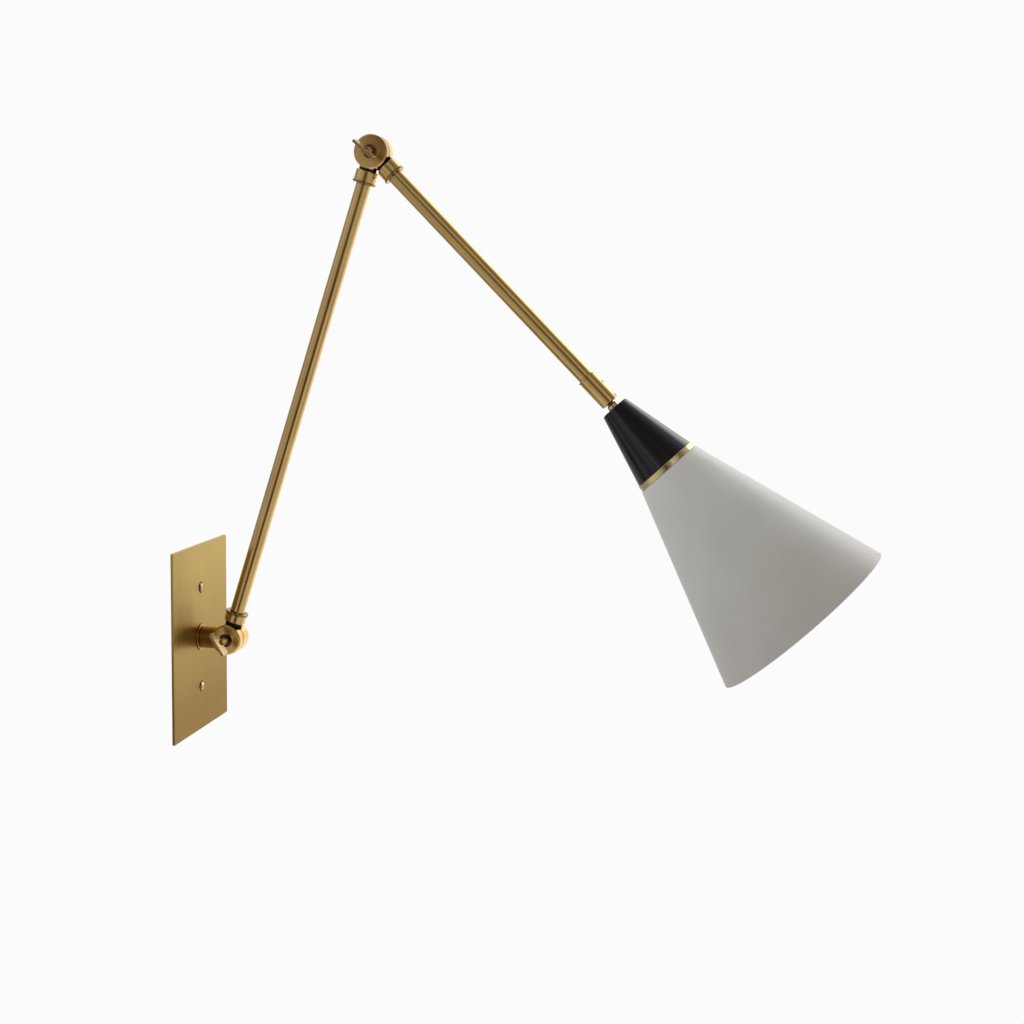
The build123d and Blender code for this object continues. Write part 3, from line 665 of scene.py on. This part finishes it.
# the enamel is painted from its colour at the ball's end to a darker, warmer painted shade at the mouth
enamelFinishes = {
    # glossy and blue-black, with sharp reflections
    "black_stove_enamel": {
        "nodes": ["shade_cap"], "colour": "#060616", "aged": "#060614", "roughness": 0.05,
        "peel": 5.0, "relief": 0.004,
    },
    # satin white, which only shows light and dark sides
    "white_satin_enamel": {
        "nodes": ["shade"], "colour": "#E8EAE6", "aged": "#D0CCC7", "roughness": 0.42,
        "peel": 1.1, "relief": 0.012,
    },
}
plasticFinishes = {
    # brown-black with a dull gloss
    "moulded_phenolic": {
        "nodes": ["lampholder_block", "lampholder_sleeve", "shade_ring_nut"],
        "colour": "#17130F", "dust": "#2C2620", "roughness": 0.42, "grit": 0.5, "relief": 0.004,
    },
    # black with a waxy look
    "moulded_black_nylon": {
        "nodes": ["wire_bushing", "ball_seat"], "colour": "#101112", "dust": "#26282A",
        "roughness": 0.5, "grit": 0.4, "relief": 0.005,
    },
    # matt grey with a fibrous grit
    "pressed_grey_fibre": {
        "nodes": ["base_friction_washer", "elbow_friction_washer"], "colour": "#3A3632",
        "dust": "#57514A", "roughness": 0.75, "grit": 0.3, "relief": 0.02,
    },
}
platedFinishes = {
    # cool grey with faint rings
    "zinc_plated_steel": {
        "nodes": ["post_pipe", "pipe_nut", "pipe_washer", "swivel_plug", "barrel_grub_screws",
                  "cap_nut"],
        "start": origin, "axis": wallAxis, "colour": "#B9BBBD", "dull": "#8E8F92",
        "roughness": 0.3,
    },
    # warm grey and brighter than the zinc
    "rolled_nickel_shell": {
        "nodes": ["lampholder_shell", "lampholder_contact"],
        "start": ballCentre, "axis": shadeAxis, "colour": "#CFCBC2", "dull": "#A8A399",
        "roughness": 0.22,
    },
}
for make, finishes in (
    (brass, brassFinishes), (enamel, enamelFinishes), (mouldedPlastic, plasticFinishes),
    (platedMetal, platedFinishes),
):
    for finishName, finish in finishes.items():
        material = make(finishName, finish)
        for node in finish["nodes"]:
            finishOf[node] = material
print("materials ready:", len(bpy.data.materials))

# Wall screws: domed heads with a slot, and a rolled thread behind the plate
wallScrew = {
    "domeSteps": 9,
    "headRound": 0.12 * mm,
    "neckRound": 0.3 * mm,
    "tip": 0.6 * mm,
    "tipRound": 0.1 * mm,
    "pitch": 0.79 * mm,
    "threadDepth": 0.42 * mm,
    "threadStart": 1.5 * mm,
    "threadEnd": 0.2 * mm,
    "rowsPerTurn": 8,
    "slotWidth": 1.1 * mm,
    "slotDepth": 1.2 * mm,
    "slotReach": 6 * mm,
    "slotEdge": 0.12 * mm,
    "slotTurns": {1: 80, -1: 35},  # degrees, for the upper and the lower screw
}


def makeWallScrews():
    s = wallScrew
    shank = mounts["wall_screws"]["dims"]["stud_r_mm"] * mm
    pieces = []
    for sign, slotTurn in s["slotTurns"].items():
        centre = upwards * sign * screwSpacing / 2
        points = [p for p in nodePoints("mounting_screws") if p.z * sign > 0]
        front, back = min(p.y for p in points), max(p.y for p in points)
        head = max(abs(p.x) for p in points)
        neck = plateFront + head - shank
        rise = plateFront - front
        ball = (head * head + rise * rise) / (2 * rise)
        angles = [math.asin(head / ball) * k / s["domeSteps"] for k in range(s["domeSteps"])]
        outline = roundedOutline(
            [(ball * math.sin(t), front + ball * (1 - math.cos(t)), 0) for t in angles]
            + [
                (head, plateFront, s["headRound"]),
                (shank, neck, s["neckRound"]),
                (shank, back - s["tip"], 0),
                (shank - s["tip"], back, s["tipRound"]),
                (0, back, 0),
            ],
            closed=False,
        )
        outline = divided(outline, neck, back - s["tip"], s["pitch"] / s["rowsPerTurn"])
        thread = threadOn(
            neck + s["threadStart"], back - s["threadEnd"], shank, s["pitch"], s["threadDepth"]
        )
        screw = turned(
            "screw", outline, centre, wallAxis, closed=False, segments=48, shape=thread
        )
        angle = math.radians(slotTurn)
        slotAlong = Vector((math.cos(angle), 0, math.sin(angle)))
        reach, depth = s["slotReach"], s["slotDepth"]
        cutter = pressedBlock(
            "cutter", [(-reach, -depth), (reach, -depth), (reach, depth), (-reach, depth)],
            s["slotWidth"], centre + wallAxis * front, slotAlong, wallAxis, s["slotEdge"],
        )
        pieces.append(cutAway(screw, cutter))
    both, other = pieces
    work = bmesh.new()
    for piece in pieces:
        work.from_mesh(piece.data)
    work.to_mesh(both.data)
    work.free()
    bpy.data.objects.remove(other)
    both.name = "wall_screws_slotted"
    dress(smoothed(both, 40), "mounting_screws")


makeWallScrews()

# Pipe, nut and bushing behind the plate
pipe = {
    "edgeRound": 0.2 * mm,
    "chamfer": 0.5 * mm,
    "pitch": 1.0 * mm,
    "threadDepth": 0.45 * mm,
    "rowsPerTurn": 8,
}


def makePipe():
    s = pipe
    low, high, bore, radius = wallSpan("post_pipe")
    first, last = low + s["chamfer"], high - s["chamfer"]
    outline = roundedOutline(
        [
            (bore, low, s["edgeRound"]),
            (radius - s["chamfer"], low, 0),
            (radius, first, 0),
            (radius, last, 0),
            (radius - s["chamfer"], high, 0),
            (bore, high, s["edgeRound"]),
        ]
    )
    outline = divided(outline, first, last, s["pitch"] / s["rowsPerTurn"])
    thread = threadOn(low, high, radius, s["pitch"], s["threadDepth"], fade=0.5)
    turnedPiece(
        "post_pipe_threaded", "post_pipe", outline, origin, wallAxis, angle=60, segments=64,
        shape=thread,
    )


pipeNut = {
    "boreWider": 0.35 * mm,
    "boreDeeper": 0.4 * mm,
    "cornerCut": 0.15 * mm,
    "cornerSlope": 1.9,  # how fast a chamfered corner grows from a face, per mm of height
    "roundShare": 0.9,  # points within this share of the flats stay round
    "sideRows": 16,
}


def makePipeNut():
    s = pipeNut
    low, high, bore, corner = wallSpan("pipe_nut")
    flat = corner * math.cos(math.pi / 6)
    wide = bore + s["boreWider"]

    def hexagon(r, along, turn):
        if r < flat * s["roundShare"]:
            return r
        reach = flat / math.cos((turn * 6 % 1 - 0.5) * math.pi / 3)
        fromFace = min(along - low, high - along)
        return min(reach, flat - s["cornerCut"] + s["cornerSlope"] * fromFace)

    side = [(flat, low + (high - low) * k / s["sideRows"], 0) for k in range(s["sideRows"] + 1)]
    outline = roundedOutline(
        [(wide, low, 0)]
        + side
        + [(wide, high, 0), (bore, high - s["boreDeeper"], 0), (bore, low + s["boreDeeper"], 0)]
    )
    turnedPiece(
        "pipe_nut_hexagon", "pipe_nut", outline, origin, wallAxis, angle=20, shape=hexagon
    )


bushing = {
    "gap": 0.05 * mm,
    "innerRound": 0.2 * mm,
    "frontRound": 0.5 * mm,
    "backRound": 0.55 * mm,
    "boreRound": 0.5 * mm,
    "ribs": 16,
    "ribDepth": 0.25 * mm,
    "ribReach": 0.1 * mm,
}


def makeBushing():
    s = bushing
    low, high, bore, radius = wallSpan("wire_bushing")
    _, pipeEnd, _, pipeRadius = wallSpan("post_pipe")
    pipeEnd, pipeRadius = pipeEnd + s["gap"], pipeRadius + s["gap"]
    outline = roundedOutline(
        [
            (pipeRadius, low, s["innerRound"]),
            (radius, low, s["frontRound"]),
            (radius, high, s["backRound"]),
            (bore, high, s["boreRound"]),
            (bore, pipeEnd, 0),
            (pipeRadius, pipeEnd, 0),
        ]
    )

    def ribbed(r, along, turn):
        if r <= radius - s["ribReach"]:
            return r
        return r - s["ribDepth"] * max(0.0, math.cos(math.tau * s["ribs"] * turn))

    turnedPiece(
        "wire_bushing_ribbed", "wire_bushing", outline, origin, wallAxis, segments=192,
        shape=ribbed,
    )


makePipe()
makePipeNut()
makeBushing()
print("plate fittings made")

# Cap: a spun cone with a thicker roof
cap = {
    "wall": 1.5 * mm,
    "roof": 3.0 * mm,
    "topRound": 1.1 * mm,
    "edgeRound": 0.4 * mm,
    "insideRound": 1.2 * mm,
    "holeRound": 0.2 * mm,
    "packedRound": 1.0 * mm,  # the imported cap's own rounding hides the last of its cone
    "packedLoss": 0.05 * mm,
}


def makeCap():
    s = cap
    low, high, hole, bottom = shadeSpan("shade_cap")
    top = topRadius("shade_cap", s["packedRound"]) + s["packedLoss"]
    slope = (bottom - top) / (high - low)
    inside = low + s["roof"]
    outline = roundedOutline(
        [
            (hole, low, s["holeRound"]),
            (top, low, s["topRound"]),
            (bottom, high, s["edgeRound"]),
            (bottom - s["wall"], high, s["edgeRound"]),
            (top - s["wall"] + slope * s["roof"], inside, s["insideRound"]),
            (hole, inside, s["holeRound"]),
        ]
    )
    turnedPiece("shade_cap_spun", "shade_cap", outline, ballCentre, shadeAxis, segments=160)


makeCap()

# Band between cap and shade
band = {
    "edgeRound": 0.45 * mm,
    "innerRound": 0.15 * mm,
    "holeRound": 0.1 * mm,
    "webRound": 0.4 * mm,
    "web": 2.6 * mm,
    "lip": 2.2 * mm,
}


def makeBand():
    s = band
    low, high, hole, radius = shadeSpan("shade_band")
    inner = shadeSpan("shade_cap")[3] - s["lip"]
    outline = roundedOutline(
        [
            (inner, low, s["innerRound"]),
            (radius, low, s["edgeRound"]),
            (radius, high, s["edgeRound"]),
            (hole, high, s["holeRound"]),
            (hole, high - s["web"], s["holeRound"]),
            (inner, high - s["web"], s["webRound"]),
        ]
    )
    turnedPiece("shade_band_turned", "shade_band", outline, ballCentre, shadeAxis, segments=160)


makeBand()

# Shade: a spun cone with a small rolled hem at its mouth
shade = {
    "wall": 1.0 * mm,
    "topRound": 0.9 * mm,
    "hem": 1.5 * mm,
    "hemWidth": 0.55 * mm,
    "hemRound": 0.62 * mm,
    "hemStep": 0.5 * mm,
    "stepRound": 0.4 * mm,
    "flange": 1.0 * mm,
    "flangeRound": 0.5 * mm,
    "holeRound": 0.1 * mm,
    "packedReach": 0.02 * mm,
}


def makeShade():
    s = shade
    low, high, hole, mouth = shadeSpan("shade")
    top = topRadius("shade", s["packedReach"])
    slope = (mouth - top) / (high - low)
    side = s["wall"] * math.sqrt(1 + slope * slope)
    hem = mouth - side - s["hemWidth"]
    hemEnd = s["hem"] + s["hemStep"]
    outline = roundedOutline(
        [
            (hole, low, s["holeRound"]),
            (top, low, s["topRound"]),
            (mouth, high, s["hemRound"]),
            (hem, high, s["hemRound"]),
            (hem - slope * s["hem"], high - s["hem"], s["stepRound"]),
            (mouth - side - slope * hemEnd, high - hemEnd, s["stepRound"]),
            (top - side + slope * s["flange"], low + s["flange"], s["flangeRound"]),
            (hole, low + s["flange"], s["holeRound"]),
        ],
        steps=6,
    )
    turnedPiece("shade_spun", "shade", outline, ballCentre, shadeAxis, segments=256)


makeShade()
print("shade, band and cap made")

# Lampholder: block, threaded sleeve, rolled screw shell, contact and ring nut
block = {
    "lap": 4 * mm,
    "lapDepth": 1.2 * mm,
    "topRound": 1.2 * mm,
    "lapRound": 0.3 * mm,
    "holeRound": 0.2 * mm,
}


def makeBlock():
    s = block
    low, high, hole, radius = shadeSpan("lampholder_block")
    outline = roundedOutline(
        [
            (hole, low, s["holeRound"]),
            (radius, low, s["topRound"]),
            (radius, high - s["lap"], 0),
            (radius - s["lapDepth"], high - s["lap"], 0),
            (radius - s["lapDepth"], high, s["lapRound"]),
            (hole, high, s["holeRound"]),
        ]
    )
    turnedPiece(
        "lampholder_block_moulded", "lampholder_block", outline, ballCentre, shadeAxis
    )


sleeve = {
    "lapDepth": 1.15 * mm,
    "flange": 2 * mm,
    "gap": 0.05 * mm,
    "topRound": 0.2 * mm,
    "neckRound": 0.5 * mm,
    "flangeRound": 0.3 * mm,
    "webRound": 0.15 * mm,
    "chamfer": 0.8 * mm,
    "mouthRound": 0.3 * mm,
    "boreRound": 0.5 * mm,
    "pitch": 2.2 * mm,
    "threadDepth": 0.75 * mm,
    "threadEnd": 2 * mm,
    "rowsPerTurn": 12,
}


def makeSleeve():
    s = sleeve
    low, high, bore, flange = shadeSpan("lampholder_sleeve")
    _, blockEnd, _, body = shadeSpan("lampholder_block")
    _, bandEnd, bandHole, _ = shadeSpan("shade_band")
    web = bandEnd - band["web"]
    skirt = bandHole - s["gap"]
    lap = body - s["lapDepth"]
    outline = roundedOutline(
        [
            (lap, low, 0),
            (body, low, s["topRound"]),
            (body, web - s["flange"], s["neckRound"]),
            (flange, web - s["flange"], s["flangeRound"]),
            (flange, web, s["webRound"]),
            (skirt, web, 0),
            (skirt, high - s["chamfer"], 0),
            (skirt - s["chamfer"], high, s["mouthRound"]),
            (bore, high, s["boreRound"]),
            (bore, blockEnd, 0),
            (lap, blockEnd, 0),
        ]
    )
    outline = divided(outline, web, high - s["chamfer"], s["pitch"] / s["rowsPerTurn"])
    thread = threadOn(
        shadeSpan("shade_ring_nut")[0], high + s["threadEnd"], skirt, s["pitch"], s["threadDepth"]
    )
    turnedPiece(
        "lampholder_sleeve_threaded", "lampholder_sleeve", outline, ballCentre, shadeAxis,
        shape=thread,
    )


shell = {
    "wall": 0.45 * mm,
    "holeRound": 0.1 * mm,
    "topRound": 0.9 * mm,
    "insideRound": 0.6 * mm,
    "mouth": 0.3 * mm,
    "mouthRound": 0.1 * mm,
    "rowsStart": 0.5 * mm,
    "pitch": 3.63 * mm,  # seven turns to the inch, as common bulbs have
    "threadDepth": 0.95 * mm,
    "threadStart": 2.5 * mm,
    "threadEnd": 1.2 * mm,
    "rowsPerTurn": 14,
}


def makeShell():
    s = shell
    low, high, hole, radius = shadeSpan("lampholder_shell")
    wall = s["wall"]
    outline = roundedOutline(
        [
            (hole, low, s["holeRound"]),
            (radius, low, s["topRound"]),
            (radius, high - s["mouth"], 0),
            (radius - wall / 2, high, s["mouthRound"]),
            (radius - wall, high - s["mouth"], 0),
            (radius - wall, low + wall, s["insideRound"]),
            (hole, low + wall, s["holeRound"]),
        ]
    )
    outline = divided(outline, low + s["rowsStart"], high, s["pitch"] / s["rowsPerTurn"])
    # the thin wall is rolled, so its inside and its outside wave together
    rolled = threadOn(
        low + s["threadStart"], high - s["threadEnd"], radius, s["pitch"], s["threadDepth"],
        fade=0.6, reach=2 * wall / s["threadDepth"],
    )
    turnedPiece(
        "lampholder_shell_rolled", "lampholder_shell", outline, ballCentre, shadeAxis,
        shape=rolled,
    )


contact = {
    "edge": 0.6 * mm,
    "rise": 0.9 * mm,
    "drop": 0.2 * mm,
    "footShare": 0.55,
    "tipShare": 0.45,
    "rounds": (0.1 * mm, 0.25 * mm, 0.3 * mm, 0.5 * mm),
}


def makeContact():
    s = contact
    low, high, _, radius = shadeSpan("lampholder_contact")
    lowerRound, upperRound, footRound, tipRound = s["rounds"]
    outline = roundedOutline(
        [
            (0, low, 0),
            (radius, low, lowerRound),
            (radius, low + s["edge"], upperRound),
            (radius * s["footShare"], low + s["rise"], footRound),
            (radius * s["tipShare"], high - s["drop"], tipRound),
            (0, high, 0),
        ],
        closed=False,
    )
    turnedPiece(
        "lampholder_contact_button", "lampholder_contact", outline, ballCentre, shadeAxis,
        closed=False, segments=48,
    )


ringNut = {
    "grips": 18,
    "gripDepth": 1.2 * mm,
    "gripReach": 3 * mm,
    "segmentsPerGrip": 14,
    "holeRound": 0.2 * mm,
    "frontRound": 0.5 * mm,
    "backRound": 1.2 * mm,
    "mouthRound": 0.6 * mm,
}


def makeRingNut():
    s = ringNut
    low, high, hole, radius = shadeSpan("shade_ring_nut")
    outline = roundedOutline(
        [
            (hole, low, s["holeRound"]),
            (radius, low, s["frontRound"]),
            (radius, high, s["backRound"]),
            (hole, high, s["mouthRound"]),
        ]
    )

    def gripped(r, along, turn):
        share = max(0.0, (r - radius + s["gripReach"]) / s["gripReach"])
        wave = max(0.0, math.cos(math.tau * s["grips"] * turn)) ** 2
        return r - s["gripDepth"] * share * wave

    turnedPiece(
        "shade_ring_nut_gripped", "shade_ring_nut", outline, ballCentre, shadeAxis,
        segments=s["grips"] * s["segmentsPerGrip"], shape=gripped,
    )


makeBlock()
makeSleeve()
makeShell()
makeContact()
makeRingNut()
print("lampholder made")

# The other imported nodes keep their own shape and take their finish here
keptNodes = [node for node in finishOf if node not in replacedNodes]
for node in keptNodes:
    keptMesh = frame["nodes"][node].data
    keptMesh.materials.clear()
    keptMesh.materials.append(finishOf[node])
print("kept nodes dressed:", len(keptNodes))

# Studio: a pale cove that only the camera sees, and light that comes from all round
coveSettings = {
    "floor": -1.8,  # metres, as the other lengths here
    "radius": 6.0,
    "height": 6.0,
    "cornerRadius": 2.5,
    "steps": 12,
    "pale": "#FDFDFD",
    "glow": 0.985,
}


def makeCove():
    s = coveSettings
    floor, radius, corner, steps = s["floor"], s["radius"], s["cornerRadius"], s["steps"]
    quarter = [math.pi / 2 * k / steps for k in range(steps + 1)]
    foot = [
        (radius - corner + corner * math.sin(a), floor + corner - corner * math.cos(a))
        for a in quarter
    ]
    dome = [
        (radius * math.cos(a), floor + corner + s["height"] * math.sin(a)) for a in quarter[1:]
    ]
    outline = [Vector(p) for p in [(0, floor)] + foot + dome]
    cove = turned("studio_cove", outline, origin, upwards, closed=False)
    cove.data.flip_normals()
    cove.data.shade_smooth()
    material, tree, output, _ = startMaterial("pale_cove_paper")
    shader = addNode(
        tree, "ShaderNodeBsdfPrincipled",
        {"Base Color": (0, 0, 0, 1), "Specular IOR Level": 0.0,
         "Emission Color": linear(s["pale"]), "Emission Strength": s["glow"]},
    )
    tree.links.new(shader.outputs[0], output.inputs[0])
    cove.data.materials.append(material)
    for ray in ("diffuse", "glossy", "transmission", "volume_scatter", "shadow"):
        setattr(cove, "visible_" + ray, False)


lightSettings = {
    "base": 0.89,
    # lit panels and dark gaps: the compass and height of the middle, the half widths where it
    # is full and where it ends, in degrees, and what it adds to the light
    "panels": [
        {"compass": -35, "height": 31, "inner": 13, "outer": 24, "gain": 1.4},
        {"compass": -29, "height": -8, "inner": 11, "outer": 58, "gain": 0.47},
        {"compass": -155, "height": 8, "inner": 7, "outer": 20, "gain": 1.06},
        {"compass": -153, "height": 20, "inner": 4, "outer": 34, "gain": 0.44},
        {"compass": -159, "height": 36, "inner": 14, "outer": 86, "gain": -0.68},
        {"compass": -88, "height": -22, "inner": 5, "outer": 38, "gain": -0.20},
        {"compass": 71, "height": -15, "inner": 12, "outer": 64, "gain": -0.50},
        {"compass": 135, "height": -9, "inner": 5, "outer": 27, "gain": -0.43},
        {"compass": -134, "height": -18, "inner": 3, "outer": 12, "gain": 0.22},
        {"compass": 146, "height": 1, "inner": 8, "outer": 19, "gain": 0.23},
    ],
    # a dark upright strip beside the camera, which draws the dark line along each tube; front
    # keeps it off the other side of the room
    "strip": {"compass": -167, "inner": 6, "outer": 20, "full": 16, "end": 36, "share": 0.78,
              "front": (0.0, 0.3)},
    # the floor under the lamp is lit and throws light upwards
    "floor": {"start": -44, "full": -62, "gain": 1.3},
    "darkest": 0.03,
    # the unlit parts of the room are warm, which browns the dark lines on the brass
    "dimColour": "#FFDF9F",
    "dimStart": 0.38,
    "dimFull": 0.12,
}


def sine(degrees):
    return math.sin(math.radians(degrees))


def cosine(degrees):
    return math.cos(math.radians(degrees))


def compassVector(compass, height):
    return Vector(
        (cosine(compass) * cosine(height), sine(compass) * cosine(height), sine(height))
    )


def makeLight():
    s = lightSettings
    world = bpy.data.worlds.new("studio_light")
    world.use_nodes = True
    scene.world = world
    tree = world.node_tree
    tree.nodes.clear()
    direction = addNode(tree, "ShaderNodeTexCoord").outputs["Generated"]

    def shareToward(vector, none, full):
        # how much of a part of the room lies in each direction, by how far that faces a vector
        facing = addNode(
            tree, "ShaderNodeVectorMath", {"operation": "DOT_PRODUCT", 1: vector}, {0: direction}
        )
        return addNode(
            tree, "ShaderNodeMapRange",
            {"interpolation_type": "SMOOTHSTEP", "From Min": none, "From Max": full},
            {"Value": facing.outputs["Value"]},
        ).outputs[0]

    level = addNode(tree, "ShaderNodeValue").outputs[0]
    level.default_value = s["base"]
    for panel in s["panels"]:
        share = shareToward(
            compassVector(panel["compass"], panel["height"]), cosine(panel["outer"]),
            cosine(panel["inner"]),
        )
        level = addNode(
            tree, "ShaderNodeMath", {"operation": "MULTIPLY_ADD", 1: panel["gain"]},
            {0: share, 2: level},
        ).outputs[0]
    strip, floor = s["strip"], s["floor"]
    sideways = compassVector(strip["compass"] + 90, 0)
    stripShare = shareToward(compassVector(strip["compass"], 0), *strip["front"])
    for mask in (
        shareToward(sideways, sine(strip["outer"]), sine(strip["inner"])),
        shareToward(-sideways, sine(strip["outer"]), sine(strip["inner"])),
        shareToward(upwards, sine(strip["end"]), sine(strip["full"])),
    ):
        stripShare = addNode(
            tree, "ShaderNodeMath", {"operation": "MULTIPLY"}, {0: stripShare, 1: mask}
        ).outputs[0]
    floorShare = shareToward(upwards, sine(floor["full"]), sine(floor["start"]))
    for share, change, rest in (
        (stripShare, -strip["share"], 1.0), (floorShare, 1.0 - floor["gain"], floor["gain"]),
    ):
        factor = addNode(
            tree, "ShaderNodeMath", {"operation": "MULTIPLY_ADD", 1: change, 2: rest}, {0: share}
        ).outputs[0]
        level = addNode(
            tree, "ShaderNodeMath", {"operation": "MULTIPLY"}, {0: level, 1: factor}
        ).outputs[0]
    level = addNode(
        tree, "ShaderNodeMath", {"operation": "MAXIMUM", 1: s["darkest"]}, {0: level}
    ).outputs[0]
    dim = addNode(
        tree, "ShaderNodeMapRange", {"From Min": s["dimStart"], "From Max": s["dimFull"]},
        {"Value": level},
    ).outputs[0]
    tint = addNode(
        tree, "ShaderNodeMix", {"data_type": "RGBA", 6: (1, 1, 1, 1), 7: linear(s["dimColour"])},
        {0: dim},
    ).outputs[2]
    background = addNode(tree, "ShaderNodeBackground", None, {"Strength": level, "Color": tint})
    addNode(tree, "ShaderNodeOutputWorld", None, {"Surface": background.outputs[0]})


makeCove()
makeLight()

# Camera: fitted to the plate, the tubes and the shade
cameraSettings = {
    "place": (-1402.58, -551.85, 301.48),
    "yaw": 10.9375,
    "down": 7.1618,
    "roll": 0.8203,
    "lens": 59.81,
    "sensor": 36.0,
    "clipEnd": 50,
}


def makeCamera():
    s = cameraSettings
    forward = compassVector(s["yaw"], -s["down"])
    level = forward.cross(upwards).normalized()
    upright = level.cross(forward)
    right = level * cosine(s["roll"]) + upright * sine(s["roll"])
    up = upright * cosine(s["roll"]) - level * sine(s["roll"])
    data = bpy.data.cameras.new("photo_camera")
    data.lens = s["lens"]
    data.sensor_width = s["sensor"]
    data.clip_end = s["clipEnd"]
    camera = bpy.data.objects.new("photo_camera", data)
    turn = Matrix((right, up, -forward)).transposed().to_4x4()
    camera.matrix_world = Matrix.Translation(Vector(s["place"]) * mm) @ turn
    scene.collection.objects.link(camera)
    scene.camera = camera


makeCamera()
print("studio and camera ready")

bpy.context.view_layer.update()
